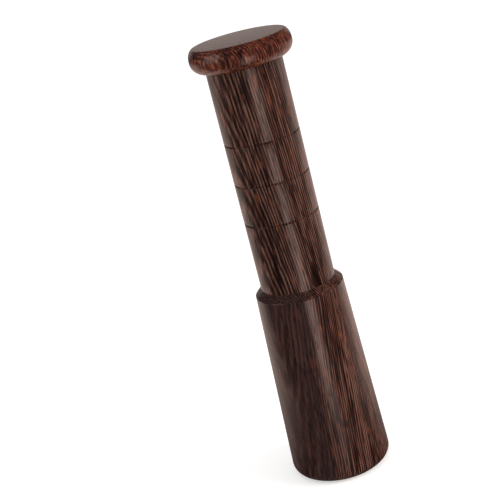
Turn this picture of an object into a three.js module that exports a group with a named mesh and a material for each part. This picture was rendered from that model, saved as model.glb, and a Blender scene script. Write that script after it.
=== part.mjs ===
// Muddler: a turned hardwood bar tool. A knob, a grip and a muddling head are turned
// separately and glued end to end, and a fluted dowel is hidden in each of the two joints.
// Millimetres, +Z up. The origin is the centre of the foot face; +Z runs along the axis
// to the knob.

import * as THREE from 'three';

// Overall.
const LENGTH = 203;
const AROUND = 64; // facets round each turned piece
const CURVE_STEPS = 8; // facets along each quarter curve
const GLUE_GAP = 0.1; // room for glue between two pieces

// Knob: a flat-topped bun.
const KNOB_HEIGHT = 10.9;
const KNOB_RADIUS = 22.3;
const KNOB_WIDEST_BELOW_TOP = 5.4;
const KNOB_FLAT_RADIUS = 19.6;

// Grip: very slightly wider at its lower end, with evenly spaced incised rings.
const GRIP_TOP_RADIUS = 16.6;
const GRIP_FOOT_RADIUS = 16.8;
const RING_COUNT = 3;
const RING_SPACING = 18.1;
const RING_WIDTH = 0.8;
const RING_DEPTH = 0.4;

// Muddling head: a bevelled shoulder, then a long taper out to a rounded foot.
const SHOULDER_Z = 92.4; // top face of the head, where the grip stands
const BEVEL_HEIGHT = 3;
const HEAD_TOP_RADIUS = 20; // where the bevel would meet the taper
const HEAD_EDGE_RADIUS = 0.25; // the corner there, rubbed round
const FOOT_RADIUS = 23;
const FOOT_EDGE_RADIUS = 4.1;

// Dowels and their blind sockets.
const UPPER_DOWEL = { radius: 6, length: 30, above: 6, flutes: 12 };
const LOWER_DOWEL = { radius: 7, length: 50, above: 25, flutes: 14 };
const FLUTE_DEPTH = 0.4;
const DOWEL_CHAMFER = 1;
const SOCKET_END_ROOM = 0.5; // left for squeezed-out glue
const SOCKET_CHAMFER = 0.6;

// Worked out from the sizes above.
const KNOB_SEAT_Z = LENGTH - KNOB_HEIGHT;
const GRIP_TOP_Z = KNOB_SEAT_Z - GLUE_GAP;
const GRIP_FOOT_Z = SHOULDER_Z + GLUE_GAP;

const point = (radius, z) => new THREE.Vector2(radius, z);

// A stretch of an ellipse as profile points, from one angle to the other, in degrees.
function arc(centreRadius, centreZ, radiusAcross, radiusAlong, from, to, steps = CURVE_STEPS) {
  return Array.from({ length: steps + 1 }, (_, i) => {
    const angle = THREE.MathUtils.degToRad(from + ((to - from) * i) / steps);
    return point(centreRadius + radiusAcross * Math.cos(angle), centreZ + radiusAlong * Math.sin(angle));
  });
}

// A profile turned about Z. Profiles run from the axis to the axis, with the wood on their left.
function turned(profile) {
  return new THREE.LatheGeometry(profile, AROUND).rotateX(Math.PI / 2);
}

// Points of a blind socket, from its mouth to the centre of its floor. The socket runs
// from mouthZ towards depth's sign.
function socket(dowel, mouthZ, depth) {
  const radius = dowel.radius + GLUE_GAP;
  const inward = Math.sign(depth);
  return [
    point(radius + SOCKET_CHAMFER, mouthZ),
    point(radius, mouthZ + inward * SOCKET_CHAMFER),
    point(radius, mouthZ + depth),
    point(0, mouthZ + depth),
  ];
}

// How far each dowel reaches below its joint, and the depth of the sockets for it.
const reachBelow = (dowel) => dowel.length - dowel.above;
const socketAbove = (dowel) => dowel.above + SOCKET_END_ROOM;
const socketBelow = (dowel) => -(reachBelow(dowel) + SOCKET_END_ROOM);

// A bun with a flat top: a blind socket and a flat seat below, then the underside curls
// out to the widest line and the edge rolls in to the flat.
function knobGeometry() {
  const widestZ = LENGTH - KNOB_WIDEST_BELOW_TOP;
  const underside = arc(
    GRIP_TOP_RADIUS, widestZ, KNOB_RADIUS - GRIP_TOP_RADIUS, widestZ - KNOB_SEAT_Z, -90, 0,
  );
  const edge = arc(KNOB_FLAT_RADIUS, widestZ, KNOB_RADIUS - KNOB_FLAT_RADIUS, LENGTH - widestZ, 0, 90);
  return turned([
    ...socket(UPPER_DOWEL, KNOB_SEAT_Z, socketAbove(UPPER_DOWEL)).reverse(),
    ...underside,
    ...edge.slice(1),
    point(0, LENGTH),
  ]);
}

// Radius of the grip's surface at a height.
function gripRadius(z) {
  const share = (z - GRIP_FOOT_Z) / (GRIP_TOP_Z - GRIP_FOOT_Z);
  return THREE.MathUtils.lerp(GRIP_FOOT_RADIUS, GRIP_TOP_RADIUS, share);
}

// A V-shaped groove cut round the grip.
function incisedRing(z) {
  const half = RING_WIDTH / 2;
  return [
    point(gripRadius(z - half), z - half),
    point(gripRadius(z) - RING_DEPTH, z),
    point(gripRadius(z + half), z + half),
  ];
}

// A near-cylinder with a blind socket in each end and the rings centred on its length.
function gripGeometry() {
  const middleZ = (GRIP_TOP_Z + GRIP_FOOT_Z) / 2;
  const rings = Array.from({ length: RING_COUNT }, (_, i) =>
    incisedRing(middleZ + (i - (RING_COUNT - 1) / 2) * RING_SPACING),
  );
  return turned([
    ...socket(LOWER_DOWEL, GRIP_FOOT_Z, socketAbove(LOWER_DOWEL)).reverse(),
    point(GRIP_FOOT_RADIUS, GRIP_FOOT_Z),
    ...rings.flat(),
    point(GRIP_TOP_RADIUS, GRIP_TOP_Z),
    ...socket(UPPER_DOWEL, GRIP_TOP_Z, socketBelow(UPPER_DOWEL)),
  ]);
}

// The corner between the taper and the bevel, rubbed to a short curve.
function shoulderEdge() {
  const corner = point(HEAD_TOP_RADIUS, SHOULDER_Z - BEVEL_HEIGHT);
  const below = point(FOOT_RADIUS, FOOT_EDGE_RADIUS).sub(corner).setLength(HEAD_EDGE_RADIUS);
  const above = point(GRIP_FOOT_RADIUS, SHOULDER_Z).sub(corner).setLength(HEAD_EDGE_RADIUS);
  const curve = new THREE.QuadraticBezierCurve(
    corner.clone().add(below), corner, corner.clone().add(above),
  );
  return curve.getPoints(CURVE_STEPS / 2);
}

// The flat foot with a rounded edge, the taper, the bevel and the shoulder with its socket.
function headGeometry() {
  const footEdge = arc(
    FOOT_RADIUS - FOOT_EDGE_RADIUS, FOOT_EDGE_RADIUS, FOOT_EDGE_RADIUS, FOOT_EDGE_RADIUS, -90, 0,
  );
  return turned([
    point(0, 0),
    ...footEdge,
    ...shoulderEdge(),
    point(GRIP_FOOT_RADIUS, SHOULDER_Z),
    ...socket(LOWER_DOWEL, SHOULDER_Z, socketBelow(LOWER_DOWEL)),
  ]);
}

// A round outline with shallow flutes for glue, three points to a flute.
function flutedOutline({ radius, flutes }) {
  const steps = flutes * 3;
  return new THREE.Shape(
    Array.from({ length: steps }, (_, i) => {
      const reach = i % 3 === 0 ? radius - FLUTE_DEPTH : radius;
      const angle = (2 * Math.PI * i) / steps;
      return point(reach * Math.cos(angle), reach * Math.sin(angle));
    }),
  );
}

// A dowel with chamfered ends, standing across the joint at jointZ.
function dowelGeometry(dowel, jointZ) {
  const body = dowel.length - 2 * DOWEL_CHAMFER;
  const geometry = new THREE.ExtrudeGeometry(flutedOutline(dowel), {
    depth: body,
    bevelEnabled: true,
    bevelThickness: DOWEL_CHAMFER,
    bevelSize: DOWEL_CHAMFER,
    bevelOffset: -DOWEL_CHAMFER,
    bevelSegments: 1,
  });
  return geometry.translate(0, 0, jointZ - reachBelow(dowel) + DOWEL_CHAMFER);
}

// Dark, open-grained hardwood under clear satin lacquer. Each piece is its own blank, so
// each has its own shade.
function lacqueredWenge(shade) {
  return new THREE.MeshStandardMaterial({ color: shade, roughness: 0.35, metalness: 0 });
}

// Pale, bare, straight-grained hardwood.
function bareBeech() {
  return new THREE.MeshStandardMaterial({ color: 0xc9a577, roughness: 0.7, metalness: 0 });
}

function piece(name, geometry, material) {
  const mesh = new THREE.Mesh(geometry, material);
  mesh.name = name;
  return mesh;
}

const muddler = new THREE.Group();
muddler.add(
  piece('knob', knobGeometry(), lacqueredWenge(0x4a2a1e)),
  piece('grip', gripGeometry(), lacqueredWenge(0x38221a)),
  piece('muddling_head', headGeometry(), lacqueredWenge(0x3c241b)),
  piece('upper_dowel', dowelGeometry(UPPER_DOWEL, KNOB_SEAT_Z - GLUE_GAP / 2), bareBeech()),
  piece('lower_dowel', dowelGeometry(LOWER_DOWEL, SHOULDER_Z + GLUE_GAP / 2), bareBeech()),
);

export default muddler;
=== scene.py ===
"""A turned wenge muddler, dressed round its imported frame.

A knob, a grip and a muddling head are turned from three blanks and glued end to end,
with a fluted beech dowel hidden in each joint. Sizes in the fields are millimetres.
Meshes are in metres and in the frame's axes: +Z up the tool, the origin at its foot.
"""

import logging
import math
from dataclasses import dataclass, field
from enum import Enum

import bpy
from mathutils import Euler, Matrix, Vector


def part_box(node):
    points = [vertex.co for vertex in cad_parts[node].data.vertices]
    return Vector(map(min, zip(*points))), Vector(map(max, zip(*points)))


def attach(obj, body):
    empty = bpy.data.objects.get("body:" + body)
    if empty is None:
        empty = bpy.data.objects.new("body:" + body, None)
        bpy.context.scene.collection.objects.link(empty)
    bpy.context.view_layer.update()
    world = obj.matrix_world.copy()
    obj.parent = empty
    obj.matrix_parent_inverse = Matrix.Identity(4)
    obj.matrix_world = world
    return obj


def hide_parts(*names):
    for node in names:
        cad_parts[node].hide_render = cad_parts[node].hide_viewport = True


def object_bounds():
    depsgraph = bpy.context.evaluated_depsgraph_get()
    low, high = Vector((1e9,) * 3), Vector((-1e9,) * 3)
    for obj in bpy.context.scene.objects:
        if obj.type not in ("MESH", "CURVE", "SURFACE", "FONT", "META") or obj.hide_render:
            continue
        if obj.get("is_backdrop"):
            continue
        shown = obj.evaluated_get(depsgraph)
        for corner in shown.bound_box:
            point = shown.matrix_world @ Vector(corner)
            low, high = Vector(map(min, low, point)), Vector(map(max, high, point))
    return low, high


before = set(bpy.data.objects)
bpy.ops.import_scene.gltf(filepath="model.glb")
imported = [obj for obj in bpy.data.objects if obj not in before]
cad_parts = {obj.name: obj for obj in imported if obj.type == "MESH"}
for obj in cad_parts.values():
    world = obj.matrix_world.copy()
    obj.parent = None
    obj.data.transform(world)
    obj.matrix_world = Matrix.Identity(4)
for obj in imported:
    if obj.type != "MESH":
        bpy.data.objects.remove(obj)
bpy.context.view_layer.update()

log = logging.getLogger("muddler")

MM = 0.001
BODY = "root"  # glued all through, so the tool is one body

# Patterns in the wenge, in millimetres: size across the grain, then along it. A wander's
# third number is how far it bends the layers.
WANDERS = ((20.0, 120.0, 5.0), (5.0, 35.0, 1.0), (1.5, 14.0, 0.6))
STROKE_WIDTH = 0.65
CLOUD = (7.0, 30.0)
VEIN = (2.2, 45.0)
FLECK = (3.2, 11.0)
PORE_WIDTH, PORE_LENGTH = 1.3, 8.0

# How fully a pattern's colour covers the wood, and the tones of its four colours.
FLECK_COVER, DUSK_COVER, PORE_COVER = 0.55, 0.75, 0.7
TONES = (0.1, 0.35, 0.62, 0.95)  # darkest, dark, brown, pale

# Patterns in the beech, per metre: a soft grain 1.1 mm by 17 mm, and rays 0.4 mm by 3 mm.
BEECH_GRAIN = (900.0, 900.0, 60.0)
BEECH_RAYS = (2500.0, 2500.0, 330.0)

# How many straight steps a curve is drawn with.
UNDERSIDE_STEPS, EDGE_STEPS, CORNER_STEPS, LIP_STEPS = 28, 24, 8, 2

# The studio.
LAMP_WHITE = "fff0e8"
CARD_WHITE = "ffe3d8"
FLOOR_DROP = 0.2  # millimetres below the foot, so that the two never share a plane
CARD_LIFT = 0.4  # millimetres above the foot's plane

Profile = list[tuple[float, float]]  # (radius, height) pairs in millimetres
Tree = bpy.types.NodeTree
Wire = bpy.types.NodeSocket  # what a node gives, to link another node to


# ----------------------------------------------------------
# Small tools
# ----------------------------------------------------------


def linear(hex_colour: str) -> tuple[float, float, float, float]:
    """Turns an sRGB colour into the linear one that shaders take.

    Args:
        hex_colour: Six hex digits, such as "3a241b".

    Returns:
        Red, green, blue and a full alpha, from 0 to 1.
    """
    channels = [int(hex_colour[i : i + 2], 16) / 255 for i in (0, 2, 4)]
    lin = [c / 12.92 if c <= 0.04045 else ((c + 0.055) / 1.055) ** 2.4 for c in channels]
    return (*lin, 1.0)


def add_node(
    tree: Tree,
    kind: str,
    inputs: dict[int | str, object] | None = None,
    **settings: object,
) -> bpy.types.Node:
    """Adds a node with its settings and its inputs.

    Args:
        tree: Tree that takes the node.
        kind: The node's type name, such as "ShaderNodeMath".
        inputs: What each input gets, by the input's name or number: an output socket
            to link from, or a value to set.
        **settings: The node's own properties, such as operation.

    Returns:
        The new node.
    """
    node = tree.nodes.new(kind)
    for name, value in settings.items():
        setattr(node, name, value)
    for key, value in (inputs or {}).items():
        if isinstance(value, Wire):
            tree.links.new(value, node.inputs[key])
        else:
            node.inputs[key].default_value = value
    return node


def maths(tree: Tree, operation: str, *values: object) -> Wire:
    """Adds a sum on one to three values, and returns its result.

    Args:
        tree: Tree that takes the sum.
        operation: The sum's name, such as "ADD".
        *values: Sockets to link from, or numbers.

    Returns:
        The result.
    """
    return add_node(tree, "ShaderNodeMath", dict(enumerate(values)), operation=operation).outputs[0]


def empty_material(name: str) -> bpy.types.Material:
    """Makes a material whose tree has no nodes yet.

    Args:
        name: The material's name.

    Returns:
        The material.
    """
    material = bpy.data.materials.new(name)
    material.use_nodes = True
    material.node_tree.nodes.clear()
    return material


def new_object(name: str, data: bpy.types.ID) -> bpy.types.Object:
    """Makes an object and puts it in the scene.

    Args:
        name: The object's name.
        data: Its mesh, light or camera.

    Returns:
        The object.
    """
    made = bpy.data.objects.new(name, data)
    bpy.context.scene.collection.objects.link(made)
    return made


def direction(azimuth: float, elevation: float) -> Vector:
    """Points from the tool's axis to a place round it.

    Args:
        azimuth: Degrees round the axis, 0 at the front (-Y) and 90 at the right (+X).
        elevation: Degrees above level.

    Returns:
        A unit vector.
    """
    a, e = math.radians(azimuth), math.radians(elevation)
    return Vector((math.sin(a) * math.cos(e), -math.cos(a) * math.cos(e), math.sin(e)))


def arc(
    centre: tuple[float, float], across: float, along: float, start: float, end: float, steps: int
) -> Profile:
    """Points on a stretch of an ellipse.

    Args:
        centre: Radius and height of the ellipse's centre.
        across: Half its width, along the radius.
        along: Half its height, along the axis.
        start: First angle in degrees, 0 pointing outwards.
        end: Last angle in degrees.
        steps: How many straight steps it is drawn with.

    Returns:
        The points, from start to end.
    """
    angles = [math.radians(start + (end - start) * i / steps) for i in range(steps + 1)]
    return [(centre[0] + across * math.cos(a), centre[1] + along * math.sin(a)) for a in angles]


def rounded(
    before: tuple[float, float],
    corner: tuple[float, float],
    after: tuple[float, float],
    reach: float,
    steps: int,
) -> Profile:
    """A corner rubbed to a short curve.

    Args:
        before: The profile's point before the corner.
        corner: The sharp corner.
        after: The profile's point after it.
        reach: How far from the corner the curve starts and ends.
        steps: How many straight steps it is drawn with.

    Returns:
        The curve's points.
    """
    c = Vector(corner)
    a = c + (Vector(before) - c).normalized() * reach
    b = c + (Vector(after) - c).normalized() * reach
    shares = [i / steps for i in range(steps + 1)]
    return [tuple(a * (1 - t) ** 2 + c * 2 * t * (1 - t) + b * t**2) for t in shares]


# ----------------------------------------------------------
# The lathe: one Geometry Nodes tree that turns any profile
# ----------------------------------------------------------


class Lathe:
    """Turns a profile about Z into a closed mesh, with flutes down its side if asked.

    The tree takes the profile as a strip of points in the XZ plane, lays a grid whose
    rows are the profile's points and whose columns go round the axis, and welds the
    seam and the two poles.
    """

    NAME = "lathe"
    AROUND = 192  # facets round the axis
    CREASE = math.radians(24)  # a fold sharper than this stays a crisp edge
    WELD = 1e-6  # metres

    def __init__(self) -> None:
        """Builds the tree once, for every turned piece."""
        self.tree = bpy.data.node_groups.new(self.NAME, "GeometryNodeTree")
        self._declare()
        self._wire()

    def _declare(self) -> None:
        """Names the tree's inputs and its output."""
        face = self.tree.interface
        face.new_socket("Profile", in_out="INPUT", socket_type="NodeSocketGeometry")
        around = face.new_socket("Around", in_out="INPUT", socket_type="NodeSocketInt")
        around.default_value = self.AROUND
        flutes = face.new_socket("Flutes", in_out="INPUT", socket_type="NodeSocketInt")
        flutes.default_value = 0
        for name in ("Flute Depth", "Radius"):
            size = face.new_socket(name, in_out="INPUT", socket_type="NodeSocketFloat")
            size.default_value = 0.0
        face.new_socket("Finish", in_out="INPUT", socket_type="NodeSocketMaterial")
        face.new_socket("Turned", in_out="OUTPUT", socket_type="NodeSocketGeometry")

    def _wire(self) -> None:
        """Lays the grid, bends it round the axis, welds it and finishes it."""
        tree = self.tree
        given = add_node(tree, "NodeGroupInput").outputs
        size = add_node(tree, "GeometryNodeAttributeDomainSize", {"Geometry": given["Profile"]})
        columns = self._maths("ADD", given["Around"], 1.0)
        grid = add_node(
            tree,
            "GeometryNodeMeshGrid",
            {"Vertices X": size.outputs["Point Count"], "Vertices Y": columns},
        )
        index = add_node(tree, "GeometryNodeInputIndex").outputs[0]
        row = self._maths("FLOOR", self._maths("DIVIDE", self._maths("ADD", index, 0.5), columns))
        column = self._maths("SUBTRACT", index, self._maths("MULTIPLY", row, columns))
        turn = self._maths("MULTIPLY", self._maths("DIVIDE", column, given["Around"]), math.tau)
        place = add_node(tree, "GeometryNodeInputPosition").outputs[0]
        sample = add_node(
            tree,
            "GeometryNodeSampleIndex",
            {"Geometry": given["Profile"], "Value": place, "Index": row},
            data_type="FLOAT_VECTOR",
        )
        point = add_node(tree, "ShaderNodeSeparateXYZ", {0: sample.outputs[0]}).outputs
        radius = self._maths("MULTIPLY", point["X"], self._flute_share(given, turn))
        spot = add_node(
            tree,
            "ShaderNodeCombineXYZ",
            {
                "X": self._maths("MULTIPLY", radius, self._maths("COSINE", turn)),
                "Y": self._maths("MULTIPLY", radius, self._maths("SINE", turn)),
                "Z": point["Z"],
            },
        )
        bent = add_node(
            tree,
            "GeometryNodeSetPosition",
            {"Geometry": grid.outputs["Mesh"], "Position": spot.outputs[0]},
        )
        welded = add_node(
            tree,
            "GeometryNodeMergeByDistance",
            {"Geometry": bent.outputs[0], "Distance": self.WELD},
        )
        self._finish(welded.outputs[0], given["Finish"])

    def _flute_share(self, given: bpy.types.NodeOutputs, turn: Wire) -> Wire:
        """Works out how much of the radius is left at an angle, once the flutes are cut.

        Args:
            given: The tree's inputs.
            turn: The angle round the axis, in radians.

        Returns:
            A share of the radius, 1 where there is no flute.
        """
        ripple = self._maths("COSINE", self._maths("MULTIPLY", turn, given["Flutes"]))
        hollow = self._maths("POWER", self._maths("MAXIMUM", ripple, 0.0), 2.0)
        radius = self._maths("MAXIMUM", given["Radius"], MM)
        cut = self._maths("DIVIDE", given["Flute Depth"], radius)
        return self._maths("SUBTRACT", 1.0, self._maths("MULTIPLY", hollow, cut))

    def _finish(self, mesh: Wire, finish: Wire) -> None:
        """Smooths the mesh except at its creases, turns its faces out and paints it.

        Args:
            mesh: The welded mesh.
            finish: The material to set.
        """
        tree = self.tree
        smooth = add_node(tree, "GeometryNodeSetShadeSmooth", {"Geometry": mesh}, domain="FACE")
        angle = add_node(tree, "GeometryNodeInputMeshEdgeAngle").outputs["Unsigned Angle"]
        sharp = add_node(
            tree, "FunctionNodeCompare", {"A": angle, "B": self.CREASE}, operation="GREATER_THAN"
        )
        creased = add_node(
            tree,
            "GeometryNodeSetShadeSmooth",
            {"Geometry": smooth.outputs[0], "Selection": sharp.outputs[0], "Shade Smooth": False},
            domain="EDGE",
        )
        outward = add_node(tree, "GeometryNodeFlipFaces", {"Mesh": creased.outputs[0]})
        real = add_node(tree, "GeometryNodeRealizeInstances", {"Geometry": outward.outputs[0]})
        painted = add_node(
            tree, "GeometryNodeSetMaterial", {"Geometry": real.outputs[0], "Material": finish}
        )
        add_node(tree, "NodeGroupOutput", {"Turned": painted.outputs[0]})

    def _maths(self, operation: str, *values: object) -> Wire:
        """Adds a sum to the lathe's own tree, and returns its result."""
        return maths(self.tree, operation, *values)

    def turn(
        self,
        name: str,
        profile: Profile,
        finish: bpy.types.Material,
        around: int = AROUND,
        flutes: int = 0,
        flute_depth: float = 0.0,
    ) -> bpy.types.Object:
        """Turns one piece.

        Args:
            name: The piece's name.
            profile: Its outline from the axis to the axis, with the wood on the left.
            finish: Its material.
            around: Facets round the axis.
            flutes: How many flutes run down its side.
            flute_depth: How deep they are, in millimetres.

        Returns:
            A plain mesh object at the origin.
        """
        strip = bpy.data.meshes.new(name + "_profile")
        strip.from_pydata(
            [(r * MM, 0.0, z * MM) for r, z in profile],
            [(i, i + 1) for i in range(len(profile) - 1)],
            [],
        )
        blank = new_object(name + "_blank", strip)
        lathe = blank.modifiers.new("Lathe", "NODES")
        lathe.node_group = self.tree
        wanted = {
            "Around": around,
            "Flutes": flutes,
            "Flute Depth": flute_depth * MM,
            "Radius": max(r for r, _ in profile) * MM,
            "Finish": finish,
        }
        for socket in self.tree.interface.items_tree:
            if socket.name in wanted:
                lathe[socket.identifier] = wanted[socket.name]
        depsgraph = bpy.context.evaluated_depsgraph_get()
        mesh = bpy.data.meshes.new_from_object(blank.evaluated_get(depsgraph))
        mesh.name = name
        piece = new_object(name, mesh)
        bpy.data.objects.remove(blank)
        return piece


# ----------------------------------------------------------
# Woods
# ----------------------------------------------------------


class Surface(Enum):
    """What is on top of the wood."""

    LACQUERED = "satin clear lacquer"
    BARE = "sanded and bare"

    def cover(self, tree: Tree, shader: bpy.types.Node, bump: bpy.types.Node) -> None:
        """Lays the lacquer over the wood's shader, if there is any.

        Args:
            tree: The material's tree.
            shader: The wood's shader.
            bump: Its relief, which the lacquer follows.
        """
        if self is Surface.BARE:
            return
        shader.inputs["Coat Weight"].default_value = 1.0
        shader.inputs["Coat Roughness"].default_value = 0.18
        shader.inputs["Coat IOR"].default_value = 1.5
        tree.links.new(bump.outputs[0], shader.inputs["Coat Normal"])


@dataclass(frozen=True)
class Blank:
    """How a piece's blank was sawn from the log.

    Attributes:
        faces: Degrees round the axis that the growth layers face, 0 at the front and
            90 at the right. There the figure is broad; a quarter turn on it is fine lines.
        tips: Degrees that the layers are tipped up, which slants the lines.
        shift: Where in the log the blank was sawn, in millimetres.
        dusk: How far out from the axis, towards the layers' face, the wood turns dusky
            and plain, and how far out it is wholly so.
    """

    faces: float
    tips: float
    shift: tuple[float, float, float]
    dusk: tuple[float, float] = (60.0, 80.0)

    def turn(self) -> Euler:
        """Rotation from the piece's axes to the log's: X across the layers, Z up the grain.

        Returns:
            The rotation as XYZ angles.
        """
        across = direction(self.faces, self.tips)
        up = Vector((0.0, 0.0, 1.0))
        grain = (up - across * up.dot(across)).normalized()
        return Matrix((across, grain.cross(across), grain)).to_euler("XYZ")


@dataclass(frozen=True)
class Wenge:
    """Wenge: near-black layers between thin brown ones, and long open pores.

    Under clear satin lacquer the dark layers go deep, the pores fill to faint streaks,
    and the gloss is a soft band.

    Attributes:
        name: The material's name.
        blank: How the blank was sawn.
        darkest: Colour of the heart of the dark layers, sRGB hex.
        dark: Colour of their edges.
        brown: Colour of the layers between.
        pale: Colour of the thin pale lines.
        dusky: Colour of the plain wood at a blank's dusky side.
        rust: Colour of the odd orange fleck.
        surface: What is on top of the wood.
        layer: Distance between fine layers, in millimetres. Real ones are 0.5 mm or
            less apart; these are drawn coarser so that they show.
        bundle: Distance between the broad dark bundles, in millimetres.
        stroke: Length of the short dark strokes, in millimetres.
        pith: Distance to the centre of the tree, in millimetres.
        lines: How strongly the fine layers show.
        strokes: How strongly the short dark strokes show.
        bundles: How strongly the bundles show.
        blotches: How strongly the cloudy patches show.
        veins: How strongly the long black veins show.
    """

    name: str
    blank: Blank
    darkest: str = "120705"
    dark: str = "29140f"
    brown: str = "4c2d24"
    pale: str = "6b4c41"
    dusky: str = "2a1a19"
    rust: str = "7a3c1c"
    surface: Surface = Surface.LACQUERED
    layer: float = 1.05
    bundle: float = 6.0
    stroke: float = 14.0
    pith: float = 90.0
    lines: float = 0.3
    strokes: float = 1.5
    bundles: float = 0.4
    blotches: float = 0.4
    veins: float = 0.4

    def make(self) -> bpy.types.Material:
        """Builds the material as a solid texture, so every cut through the wood matches.

        Returns:
            The wood, with its surface on.
        """
        material = empty_material(self.name)
        material.diffuse_color = linear(self.brown)
        tree = material.node_tree
        log_place = self._log_place(tree)
        depth = self._depth(tree, log_place)
        colour, tone = self._colour(tree, log_place, depth)
        pores = self._pores(tree, log_place)
        inked = add_node(
            tree,
            "ShaderNodeMix",
            {"Factor": pores, 6: colour, 7: linear(self.darkest)},
            data_type="RGBA",
        )
        self._shade(tree, inked.outputs[2], tone, pores)
        return material

    def _log_place(self, tree: Tree) -> Wire:
        """Place in the log, in millimetres: X across the layers, Z up the grain.

        Args:
            tree: The material's tree.

        Returns:
            The place as a vector.
        """
        spot = add_node(tree, "ShaderNodeTexCoord").outputs["Object"]
        mapping = add_node(
            tree,
            "ShaderNodeMapping",
            {
                "Vector": spot,
                "Location": self.blank.shift,
                "Rotation": self.blank.turn(),
                "Scale": (1 / MM, 1 / MM, 1 / MM),
            },
        )
        return mapping.outputs[0]

    @staticmethod
    def _noise(
        tree: Tree, place: Wire, across: float, along: float, detail: float = 2.0
    ) -> Wire:
        """Noise drawn out along the grain.

        Args:
            tree: The material's tree.
            place: Place in the log, in millimetres.
            across: Size of its blotches across the grain, in millimetres.
            along: Size of its blotches along the grain.
            detail: How many finer layers it adds.

        Returns:
            Noise from about 0.2 to 0.8, 0.5 on average.
        """
        squeezed = add_node(
            tree,
            "ShaderNodeVectorMath",
            {0: place, 1: (1 / across, 1 / across, 1 / along)},
            operation="MULTIPLY",
        )
        noise = add_node(
            tree,
            "ShaderNodeTexNoise",
            {"Vector": squeezed.outputs[0], "Scale": 1.0, "Detail": detail},
        )
        return noise.outputs[0]

    def _depth(self, tree: Tree, place: Wire) -> Wire:
        """Distance through the growth layers, with the tree's own wander.

        The layers curve round the pith. Three noises bend them, from a long slow sweep
        to a short ripple.

        Args:
            tree: The material's tree.
            place: Place in the log, in millimetres.

        Returns:
            The distance, in millimetres.
        """
        xyz = add_node(tree, "ShaderNodeSeparateXYZ", {0: place}).outputs
        from_pith = maths(tree, "ADD", xyz["X"], self.pith)
        across = maths(tree, "POWER", from_pith, 2.0)
        aside = maths(tree, "POWER", xyz["Y"], 2.0)
        depth = maths(tree, "SQRT", maths(tree, "ADD", across, aside))
        for across_size, along_size, swing in WANDERS:
            wander = self._noise(tree, place, across_size, along_size)
            centred = maths(tree, "SUBTRACT", wander, 0.5)
            depth = maths(tree, "MULTIPLY_ADD", centred, swing, depth)
        return depth

    def _strip_noise(self, tree: Tree, depth: Wire, size: float, detail: float) -> Wire:
        """Noise that changes only from layer to layer.

        Args:
            tree: The material's tree.
            depth: Distance through the layers, in millimetres.
            size: Thickness of its layers, in millimetres.
            detail: How many finer layers it adds.

        Returns:
            Noise from about 0.2 to 0.8.
        """
        w = maths(tree, "DIVIDE", depth, size)
        noise = add_node(
            tree,
            "ShaderNodeTexNoise",
            {"W": w, "Scale": 1.0, "Detail": detail, "Roughness": 0.6},
            noise_dimensions="1D",
        )
        return noise.outputs[0]

    def _colour(self, tree: Tree, place: Wire, depth: Wire) -> tuple[Wire, Wire]:
        """Lays the layers, the dark strokes and veins, the rust flecks and the dusky side.

        The strokes and veins run up the grain, so they fade where the face looks along
        it: there a real piece shows its layers and little else.

        Args:
            tree: The material's tree.
            place: Place in the log, in millimetres.
            depth: Distance through the layers, in millimetres.

        Returns:
            The wood's colour, and its tone from 0, darkest, to 1, palest.
        """
        facing = add_node(tree, "ShaderNodeTexCoord").outputs["Normal"]
        upward = add_node(tree, "ShaderNodeSeparateXYZ", {0: facing}).outputs["Z"]
        side = add_node(
            tree,
            "ShaderNodeMapRange",
            {
                "Value": maths(tree, "ABSOLUTE", upward),
                "From Min": 0.98,
                "From Max": 0.75,
                "To Min": 0.25,
            },
        ).outputs[0]
        turns = maths(tree, "MULTIPLY", depth, math.tau / self.layer)
        tone = maths(tree, "MULTIPLY_ADD", maths(tree, "SINE", turns), self.lines, 0.5)
        for noise, weight in (
            (
                self._noise(tree, place, STROKE_WIDTH, self.stroke, 1.0),
                maths(tree, "MULTIPLY", side, self.strokes),
            ),
            (self._strip_noise(tree, depth, self.bundle, 1.0), self.bundles),
            (self._noise(tree, place, *CLOUD), self.blotches),
        ):
            centred = maths(tree, "SUBTRACT", noise, 0.5)
            tone = maths(tree, "MULTIPLY_ADD", centred, weight, tone)
        vein = add_node(
            tree,
            "ShaderNodeMapRange",
            {
                "Value": self._noise(tree, place, *VEIN, 1.0),
                "From Min": 0.58,
                "From Max": 0.7,
                "To Max": maths(tree, "MULTIPLY", side, self.veins),
            },
        )
        tone = maths(tree, "SUBTRACT", tone, vein.outputs[0])
        ramp = add_node(tree, "ShaderNodeValToRGB", {0: tone})
        stops = ramp.color_ramp.elements
        darkest, dark, brown, pale = TONES
        stops[0].position, stops[0].color = darkest, linear(self.darkest)
        stops[1].position, stops[1].color = pale, linear(self.pale)
        for position, colour in ((dark, self.dark), (brown, self.brown)):
            stops.new(position).color = linear(colour)
        fleck = self._noise(tree, place, *FLECK, 1.0)
        rusty = add_node(
            tree,
            "ShaderNodeMapRange",
            {"Value": fleck, "From Min": 0.65, "From Max": 0.77, "To Max": FLECK_COVER},
        )
        mixed = add_node(
            tree,
            "ShaderNodeMix",
            {"Factor": rusty.outputs[0], 6: ramp.outputs[0], 7: linear(self.rust)},
            data_type="RGBA",
        )
        middle = self.pith + self.blank.shift[0]
        dusk = add_node(
            tree,
            "ShaderNodeMapRange",
            {
                "Value": depth,
                "From Min": middle + self.blank.dusk[0],
                "From Max": middle + self.blank.dusk[1],
                "To Max": DUSK_COVER,
            },
            interpolation_type="SMOOTHSTEP",
        )
        faded = add_node(
            tree,
            "ShaderNodeMix",
            {"Factor": dusk.outputs[0], 6: mixed.outputs[2], 7: linear(self.dusky)},
            data_type="RGBA",
        )
        return faded.outputs[2], tone

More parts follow.
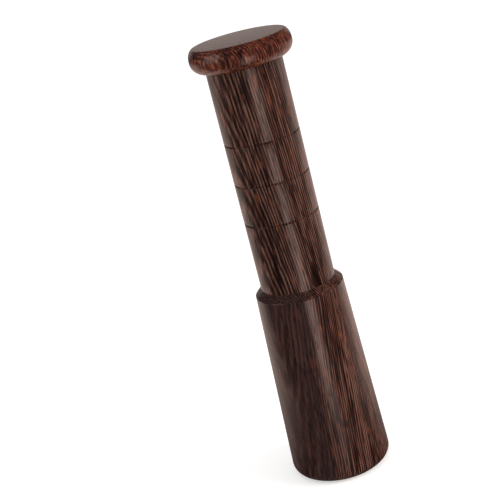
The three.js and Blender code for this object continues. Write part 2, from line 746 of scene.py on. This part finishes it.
    def _pores(self, tree: Tree, place: Wire) -> Wire:
        """Long open pores, one to a cell.

        Args:
            tree: The material's tree.
            place: Place in the log, in millimetres.

        Returns:
            How fully a pore shows, and 0 between the pores.
        """
        cells = add_node(
            tree,
            "ShaderNodeVectorMath",
            {0: place, 1: (1 / PORE_WIDTH, 1 / PORE_WIDTH, 1 / PORE_LENGTH)},
            operation="MULTIPLY",
        )
        pore = add_node(
            tree,
            "ShaderNodeTexVoronoi",
            {"Vector": cells.outputs[0], "Scale": 1.0, "Randomness": 1.0},
        )
        spread = add_node(
            tree,
            "ShaderNodeMapRange",
            {
                "Value": pore.outputs["Distance"],
                "From Min": 0.36,
                "From Max": 0.2,
                "To Max": PORE_COVER,
            },
        )
        return spread.outputs[0]

    def _shade(self, tree: Tree, colour: Wire, tone: Wire, pores: Wire) -> None:
        """Puts the colour under its surface, with the pores and dark layers a little sunk.

        Args:
            tree: The material's tree.
            colour: The wood's colour.
            tone: Its tone, from 0 to 1. The palest wood is the roughest.
            pores: Where the pores are.
        """
        rough = add_node(
            tree, "ShaderNodeMapRange", {"Value": tone, "To Min": 0.5, "To Max": 0.62}
        )
        ridges = maths(tree, "MULTIPLY", tone, 0.25)
        relief = maths(tree, "MULTIPLY_ADD", pores, -1.0, ridges)
        bump = add_node(
            tree, "ShaderNodeBump", {"Strength": 0.5, "Distance": 0.08 * MM, "Height": relief}
        )
        shader = add_node(
            tree,
            "ShaderNodeBsdfPrincipled",
            {
                "Base Color": colour,
                "Roughness": rough.outputs[0],
                "IOR": 1.5,
                "Normal": bump.outputs[0],
                "Specular IOR Level": 0.0,
            },
        )
        self.surface.cover(tree, shader, bump)
        add_node(tree, "ShaderNodeOutputMaterial", {"Surface": shader.outputs[0]})


@dataclass(frozen=True)
class Beech:
    """Beech, bare: pale, even and straight, with short darker ray flecks.

    Attributes:
        name: The material's name.
        body: Colour of the wood, sRGB hex.
        deep: Colour of its slightly darker grain.
        fleck: Colour of the ray flecks.
        surface: What is on top of the wood.
    """

    name: str = "beech_bare"
    body: str = "cda67c"
    deep: str = "b88a5c"
    fleck: str = "8e6238"
    surface: Surface = Surface.BARE

    def make(self) -> bpy.types.Material:
        """Builds the material, with ray flecks 3 mm long.

        Returns:
            The wood.
        """
        material = empty_material(self.name)
        tree = material.node_tree
        spot = add_node(tree, "ShaderNodeTexCoord").outputs["Object"]
        long_grain = add_node(tree, "ShaderNodeMapping", {"Vector": spot, "Scale": BEECH_GRAIN})
        grain = add_node(
            tree, "ShaderNodeTexNoise", {"Vector": long_grain.outputs[0], "Scale": 1.0}
        )
        rays = add_node(tree, "ShaderNodeMapping", {"Vector": spot, "Scale": BEECH_RAYS})
        ray = add_node(tree, "ShaderNodeTexNoise", {"Vector": rays.outputs[0], "Scale": 1.0})
        base = add_node(
            tree,
            "ShaderNodeMix",
            {"Factor": grain.outputs[0], 6: linear(self.body), 7: linear(self.deep)},
            data_type="RGBA",
        )
        mask = add_node(
            tree,
            "ShaderNodeMapRange",
            {"Value": ray.outputs[0], "From Min": 0.6, "From Max": 0.7, "To Max": 0.6},
        )
        colour = add_node(
            tree,
            "ShaderNodeMix",
            {"Factor": mask.outputs[0], 6: base.outputs[2], 7: linear(self.fleck)},
            data_type="RGBA",
        )
        bump = add_node(
            tree,
            "ShaderNodeBump",
            {"Strength": 0.2, "Distance": 0.05 * MM, "Height": grain.outputs[0]},
        )
        shader = add_node(
            tree,
            "ShaderNodeBsdfPrincipled",
            {"Base Color": colour.outputs[2], "Roughness": 0.68, "Normal": bump.outputs[0]},
        )
        self.surface.cover(tree, shader, bump)
        add_node(tree, "ShaderNodeOutputMaterial", {"Surface": shader.outputs[0]})
        return material


# ----------------------------------------------------------
# The pieces
# ----------------------------------------------------------


@dataclass
class Socket:
    """A blind hole for a dowel.

    Attributes:
        radius: The hole's radius.
        depth: How deep it is.
        chamfer: Size of the bevel at its mouth.
    """

    radius: float
    depth: float
    chamfer: float = 0.6

    def inwards(self, mouth: float, way: int) -> Profile:
        """Its outline from the mouth to the middle of its floor.

        Args:
            mouth: Height of the face it opens in.
            way: 1 if it runs up from the mouth, -1 if it runs down.

        Returns:
            Four profile points.
        """
        floor = mouth + way * self.depth
        return [
            (self.radius + self.chamfer, mouth),
            (self.radius, mouth + way * self.chamfer),
            (self.radius, floor),
            (0.0, floor),
        ]


@dataclass
class TurnedPiece:
    """A piece off the lathe, which stands for one node of the frame.

    Attributes:
        node: The frame's node.
        slot: Name of the piece's material slot. It is not used.
        finish: The wood and what is on it.
    """

    node: str
    slot: str
    finish: Wenge | Beech

    @property
    def low(self) -> float:
        """Height of the node's lowest point, in millimetres."""
        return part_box(self.node)[0].z / MM

    @property
    def high(self) -> float:
        """Height of the node's highest point, in millimetres."""
        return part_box(self.node)[1].z / MM

    @property
    def radius(self) -> float:
        """The node's largest radius, in millimetres."""
        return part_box(self.node)[1].x / MM

    def profile(self) -> Profile:
        """The piece's outline, from the axis to the axis."""
        raise NotImplementedError

    def build(self, lathe: Lathe) -> bpy.types.Object:
        """Turns and dresses the piece.

        Args:
            lathe: The lathe that turns it.

        Returns:
            The finished object, riding on the tool's body.
        """
        piece = lathe.turn(self.node + "_turned", self.profile(), self.finish.make())
        return self.fit(piece)

    def fit(self, piece: bpy.types.Object) -> bpy.types.Object:
        """Puts the piece in its node's place.

        Args:
            piece: The finished mesh.

        Returns:
            The same object.
        """
        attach(piece, BODY)
        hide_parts(self.node)
        log.info("%s: %d faces", piece.name, len(piece.data.polygons))
        return piece


@dataclass
class Knob(TurnedPiece):
    """A flat-topped bun, round below and rolled in at its top edge.

    Attributes:
        neck: Radius where the underside starts, at the grip.
        widest_below_top: How far below the top the knob is widest.
        flat: Radius of the flat on top.
        socket: The hole for the upper dowel.
    """

    neck: float = 16.6
    widest_below_top: float = 5.4
    flat: float = 19.6
    socket: Socket = field(default_factory=lambda: Socket(6.1, 6.5))

    def profile(self) -> Profile:
        """Socket and seat, the underside's curve, the rolled edge and the flat.

        Returns:
            The outline, from the axis to the axis.
        """
        widest = self.high - self.widest_below_top
        bulge, roll = self.radius - self.neck, self.radius - self.flat
        under = arc((self.neck, widest), bulge, widest - self.low, -90, 0, UNDERSIDE_STEPS)
        edge = arc((self.flat, widest), roll, self.high - widest, 0, 90, EDGE_STEPS)
        return [
            *reversed(self.socket.inwards(self.low, 1)),
            *under,
            *edge[1:],
            (0.0, self.high),
        ]


@dataclass
class Grip(TurnedPiece):
    """A near-cylinder with fine rings cut round it.

    Attributes:
        top_radius: Radius at the knob.
        rings: How many rings there are, centred on the grip's length.
        ring_spacing: From one ring to the next.
        ring_width: Width of a ring's mouth.
        ring_depth: How deep a ring is cut.
        glue: How far each end reaches into its glue line.
        upper: The hole for the upper dowel.
        lower: The hole for the lower dowel.
    """

    top_radius: float = 16.6
    rings: int = 3
    ring_spacing: float = 18.1
    ring_width: float = 0.8
    ring_depth: float = 0.4
    glue: float = 0.09
    upper: Socket = field(default_factory=lambda: Socket(6.1, 24.5))
    lower: Socket = field(default_factory=lambda: Socket(7.1, 25.5))

    def side(self, height: float) -> float:
        """Radius of the grip's side at a height."""
        share = (height - self.low) / (self.high - self.low)
        return self.radius + (self.top_radius - self.radius) * share

    def ring(self, height: float) -> Profile:
        """One ring: a narrow V with its lips just broken.

        Args:
            height: Height of the ring's middle.

        Returns:
            The outline across the ring, from below it to above it.
        """
        half, lip = self.ring_width / 2, self.ring_width / 8
        away = 2.0  # two points this far off give the side's own line
        lower = (self.side(height - half), height - half)
        upper = (self.side(height + half), height + half)
        root = (self.side(height) - self.ring_depth, height)
        below = (self.side(height - away), height - away)
        above = (self.side(height + away), height + away)
        return [
            *rounded(below, lower, root, lip, LIP_STEPS),
            *rounded(lower, root, upper, lip, LIP_STEPS),
            *rounded(root, upper, above, lip, LIP_STEPS),
        ]

    def profile(self) -> Profile:
        """Lower socket, the side with its rings, and the upper socket.

        Both ends reach out by the glue's thickness, so that no light shows at the joints.

        Returns:
            The outline, from the axis to the axis.
        """
        middle = (self.low + self.high) / 2
        foot, top = self.low - self.glue, self.high + self.glue
        side: Profile = []
        for i in range(self.rings):
            side += self.ring(middle + (i - (self.rings - 1) / 2) * self.ring_spacing)
        return [
            *reversed(self.lower.inwards(foot, 1)),
            (self.radius, foot),
            *side,
            (self.top_radius, top),
            *self.upper.inwards(top, -1),
        ]


@dataclass
class MuddlingHead(TurnedPiece):
    """A bevelled shoulder, a long taper and a rounded foot.

    Attributes:
        shoulder: Radius where the bevel starts, at the grip.
        bevel: Height of the bevel.
        top_radius: Radius where the bevel would meet the taper.
        top_edge: How far the corner there is rubbed back, each way.
        foot_edge: Radius of the foot's rounded edge.
        socket: The hole for the lower dowel.
    """

    shoulder: float = 16.8
    bevel: float = 3.0
    top_radius: float = 20.0
    top_edge: float = 0.25
    foot_edge: float = 4.1
    socket: Socket = field(default_factory=lambda: Socket(7.1, 25.5))

    def profile(self) -> Profile:
        """The flat foot, its rounded edge, the taper, the bevel and the socket.

        Returns:
            The outline, from the axis to the axis.
        """
        edge = self.foot_edge
        foot = arc((self.radius - edge, self.low + edge), edge, edge, -90, 0, EDGE_STEPS)
        corner = (self.top_radius, self.high - self.bevel)
        lip = (self.shoulder, self.high)
        return [
            (0.0, self.low),
            *foot,
            *rounded(foot[-1], corner, lip, self.top_edge, CORNER_STEPS),
            lip,
            *self.socket.inwards(self.high, -1),
        ]


@dataclass
class Dowel(TurnedPiece):
    """A dowel with chamfered ends and glue flutes down its side.

    Attributes:
        chamfer: Size of the bevel at each end.
        flutes: How many flutes there are.
        flute_depth: How deep they are.
    """

    chamfer: float = 1.0
    flutes: int = 12
    flute_depth: float = 0.4

    def profile(self) -> Profile:
        """A plain rod with a bevel at each end.

        Returns:
            The outline, from the axis to the axis.
        """
        return [
            (0.0, self.low),
            (self.radius - self.chamfer, self.low),
            (self.radius, self.low + self.chamfer),
            (self.radius, self.high - self.chamfer),
            (self.radius - self.chamfer, self.high),
            (0.0, self.high),
        ]

    def build(self, lathe: Lathe) -> bpy.types.Object:
        """Turns the rod and cuts its flutes.

        Args:
            lathe: The lathe that turns it.

        Returns:
            The finished object, riding on the tool's body.
        """
        piece = lathe.turn(
            self.node + "_fluted",
            self.profile(),
            self.finish.make(),
            around=self.flutes * 16,
            flutes=self.flutes,
            flute_depth=self.flute_depth,
        )
        return self.fit(piece)


# ----------------------------------------------------------
# The studio
# ----------------------------------------------------------


@dataclass
class Viewpoint:
    """The camera: a short telephoto a little above the knob, held at a tilt.

    Attributes:
        distance: From the tool's axis, in millimetres.
        height: Above the floor.
        aside: Degrees the lens points to the left of the axis.
        down: Degrees it points down.
        roll: Degrees it is rolled.
        lens: Focal length on a 36 mm wide sensor.
    """

    distance: float = 481.3
    height: float = 271.3
    aside: float = 2.055
    down: float = 18.379
    roll: float = -14.696
    lens: float = 82.6

    def make(self) -> bpy.types.Object:
        """Makes the camera and hands it to the scene.

        Returns:
            The camera.
        """
        data = bpy.data.cameras.new("camera")
        data.lens = self.lens
        data.sensor_width = 36.0
        data.clip_start, data.clip_end = 0.01, 50.0
        camera = new_object("camera", data)
        aim = (
            Matrix.Rotation(math.radians(self.aside), 4, "Z")
            @ Matrix.Rotation(math.radians(90 - self.down), 4, "X")
            @ Matrix.Rotation(math.radians(self.roll), 4, "Z")
        )
        stand = (0.0, -self.distance * MM, self.height * MM)
        camera.matrix_world = Matrix.Translation(stand) @ aim
        bpy.context.scene.camera = camera
        return camera


@dataclass
class Softbox:
    """A rectangular light that faces the tool.

    Attributes:
        name: The light's name.
        azimuth: Degrees round the tool, 0 at the front and 90 at the right.
        elevation: Degrees above level.
        distance: From the tool's middle, in metres.
        width: In metres.
        height: In metres.
        power: In watts.
        mirrored: Whether the lacquer's gloss shows it.
    """

    name: str
    azimuth: float
    elevation: float
    distance: float
    width: float
    height: float
    power: float
    mirrored: bool = True

    def make(self, middle: Vector) -> bpy.types.Object:
        """Makes the light.

        Args:
            middle: The point it faces.

        Returns:
            The light.
        """
        data = bpy.data.lights.new(self.name, "AREA")
        data.shape = "RECTANGLE"
        data.size, data.size_y = self.width, self.height
        data.energy = self.power
        data.color = linear(LAMP_WHITE)[:3]
        light = new_object(self.name, data)
        back = direction(self.azimuth, self.elevation)
        light.location = middle + back * self.distance
        light.rotation_euler = (-back).to_track_quat("-Z", "Y").to_euler()
        light.visible_camera = False
        light.visible_glossy = self.mirrored
        return light


@dataclass
class MirrorCard:
    """A glowing wedge of card on the floor, seen only in the lacquer's gloss.

    An upright wall looked at from above mirrors the floor, so these cards draw the tall
    bands and the soft rims on the wood. A card is brightest along one line, and fades to
    nothing at its two sides and at its near end.

    Attributes:
        name: The card's name.
        start: Degrees round the tool of one side, 0 at the front and 90 at the right.
        peak: Degrees round the tool of its brightest line.
        end: Degrees round the tool of the other side.
        near: Where it starts, from the axis, in metres.
        full: Where it has come up to full brightness.
        far: Where it ends.
        glow: Its brightness at the brightest line.
    """

    name: str
    start: float
    peak: float
    end: float
    near: float
    full: float
    far: float
    glow: float

    def make(self) -> bpy.types.Object:
        """Makes the card as a fan of nine points, with its shine on the middle line.

        Returns:
            The card, on the floor.
        """
        corners = [
            direction(azimuth, 0.0) * reach
            for azimuth in (self.start, self.peak, self.end)
            for reach in (self.near, self.full, self.far)
        ]
        faces = [(i, i + 3, i + 4, i + 1) for i in (0, 1, 3, 4)]
        mesh = bpy.data.meshes.new(self.name)
        mesh.from_pydata([tuple(corner) for corner in corners], [], faces)
        shine = mesh.attributes.new("shine", "FLOAT", "POINT")
        shine.data.foreach_set("value", (0.0, 0.0, 0.0, 0.0, 1.0, 1.0, 0.0, 0.0, 0.0))
        mesh.materials.append(self._finish())
        card = new_object(self.name, mesh)
        card.location.z = CARD_LIFT * MM
        card.visible_camera = False
        card.visible_diffuse = False
        card.visible_shadow = False
        card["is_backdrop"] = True
        return card

    def _finish(self) -> bpy.types.Material:
        """Warm glow that follows the card's shine.

        Returns:
            The material.
        """
        material = empty_material(self.name)
        tree = material.node_tree
        shine = add_node(tree, "ShaderNodeAttribute", attribute_name="shine").outputs["Fac"]
        strength = maths(tree, "MULTIPLY", shine, self.glow)
        glow = add_node(
            tree, "ShaderNodeEmission", {"Color": linear(CARD_WHITE), "Strength": strength}
        )
        add_node(tree, "ShaderNodeOutputMaterial", {"Surface": glow.outputs[0]})
        return material


@dataclass
class Studio:
    """A white sweep, an even surround and a few soft lights.

    Attributes:
        floor_radius: In metres.
        surround: Brightness of the even light all round.
        mirror: Brightness of the surround where the lacquer mirrors it.
        boxes: The soft lights.
        cards: The cards that the gloss mirrors.
    """

    floor_radius: float = 9.0
    surround: float = 0.75
    mirror: float = 0.08
    boxes: tuple[Softbox, ...] = (
        Softbox("key", -69.0, 20.0, 1.1, 0.7, 0.7, 1.8),
        Softbox("fill", 70.0, 25.0, 1.4, 0.8, 0.9, 13.0, mirrored=False),
        Softbox("back", 180.0, 12.0, 1.5, 2.0, 0.5, 1.1),
    )
    cards: tuple[MirrorCard, ...] = (
        MirrorCard("front_card", -3.0, 6.0, 28.0, 0.015, 0.14, 2.0, 2.4),
        MirrorCard("left_card", -50.0, -115.0, -180.0, 0.005, 0.13, 2.0, 0.85),
        MirrorCard("right_card", 48.0, 112.0, 180.0, 0.005, 0.13, 2.0, 0.95),
    )

    def make(self) -> None:
        """Sets up the view, the surround, the floor and the lights."""
        bpy.context.scene.view_settings.view_transform = "Standard"
        low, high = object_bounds()
        self._surround()
        self._floor(low.z)
        for box in self.boxes:
            box.make((low + high) / 2)
        for card in self.cards:
            card.make()

    def _surround(self) -> None:
        """White to the eye, and softer where it lights or is mirrored."""
        world = bpy.data.worlds.new("surround")
        bpy.context.scene.world = world
        world.use_nodes = True
        tree = world.node_tree
        tree.nodes.clear()
        path = add_node(tree, "ShaderNodeLightPath").outputs
        lit = add_node(tree, "ShaderNodeBackground", {"Strength": self.surround})
        mirrored = add_node(tree, "ShaderNodeBackground", {"Strength": self.mirror})
        seen = add_node(tree, "ShaderNodeBackground", {"Strength": 1.0})
        for shade in (lit, mirrored, seen):
            shade.inputs["Color"].default_value = linear("ffffff")
        glossy = add_node(
            tree,
            "ShaderNodeMixShader",
            {0: path["Is Glossy Ray"], 1: lit.outputs[0], 2: mirrored.outputs[0]},
        )
        shown = add_node(
            tree,
            "ShaderNodeMixShader",
            {0: path["Is Camera Ray"], 1: glossy.outputs[0], 2: seen.outputs[0]},
        )
        add_node(tree, "ShaderNodeOutputWorld", {"Surface": shown.outputs[0]})

    def _floor(self, height: float) -> None:
        """A wide floor that is lit to near white and kept out of the lacquer's reflections.

        Args:
            height: Height of the tool's foot, in metres.
        """
        mesh = bpy.data.meshes.new("floor")
        r = self.floor_radius
        mesh.from_pydata([(-r, -r, 0), (r, -r, 0), (r, r, 0), (-r, r, 0)], [], [(0, 1, 2, 3)])
        floor = new_object("floor", mesh)
        floor.location.z = height - FLOOR_DROP * MM
        material = empty_material("white_sweep")
        tree = material.node_tree
        shader = add_node(
            tree,
            "ShaderNodeBsdfPrincipled",
            {
                "Base Color": linear("e6e6e6"),
                "Roughness": 0.9,
                "Emission Color": linear("ffffff"),
                "Emission Strength": 0.45,
            },
        )
        add_node(tree, "ShaderNodeOutputMaterial", {"Surface": shader.outputs[0]})
        mesh.materials.append(material)
        floor.visible_glossy = False
        floor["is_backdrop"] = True


# ----------------------------------------------------------
# The muddler
# ----------------------------------------------------------


def pieces() -> list[TurnedPiece]:
    """Every piece of the tool, from the knob down.

    Returns:
        The pieces, each with its own wood.
    """
    knob_wood = Wenge(
        "wenge_knob_satin_lacquer",
        Blank(faces=-47.5, tips=-9.0, shift=(0.0, 0.0, 0.0)),
        darkest="1c0c08",
        dark="32160e",
        brown="58291d",
        pale="7c4836",
        layer=0.85,
        stroke=5.0,
        lines=0.18,
        strokes=1.25,
        bundles=0.3,
    )
    grip_wood = Wenge(
        "wenge_grip_satin_lacquer",
        Blank(faces=-66.0, tips=-4.1, shift=(40.0, 0.0, 30.0)),
        brown="432820",
        pale="64463b",
    )
    head_wood = Wenge(
        "wenge_head_satin_lacquer",
        Blank(faces=-52.0, tips=4.5, shift=(110.0, 0.0, 0.0), dusk=(14.0, 21.0)),
        layer=0.9,
        lines=0.27,
        strokes=1.25,
        veins=0.3,
    )
    beech = Beech()
    return [
        Knob("knob", "knob_wenge", knob_wood),
        Grip("grip", "grip_wenge", grip_wood),
        MuddlingHead("muddling_head", "head_wenge", head_wood),
        Dowel("upper_dowel", "dowel_beech", beech),
        Dowel("lower_dowel", "dowel_beech", beech, flutes=14),
    ]


def main() -> None:
    """Builds the view, the studio and the tool, and reports each piece."""
    logging.basicConfig(level=logging.INFO, format="%(name)s: %(message)s")
    Viewpoint().make()
    Studio().make()
    lathe = Lathe()
    for piece in pieces():
        piece.build(lathe)


if __name__ == "__main__":
    main()
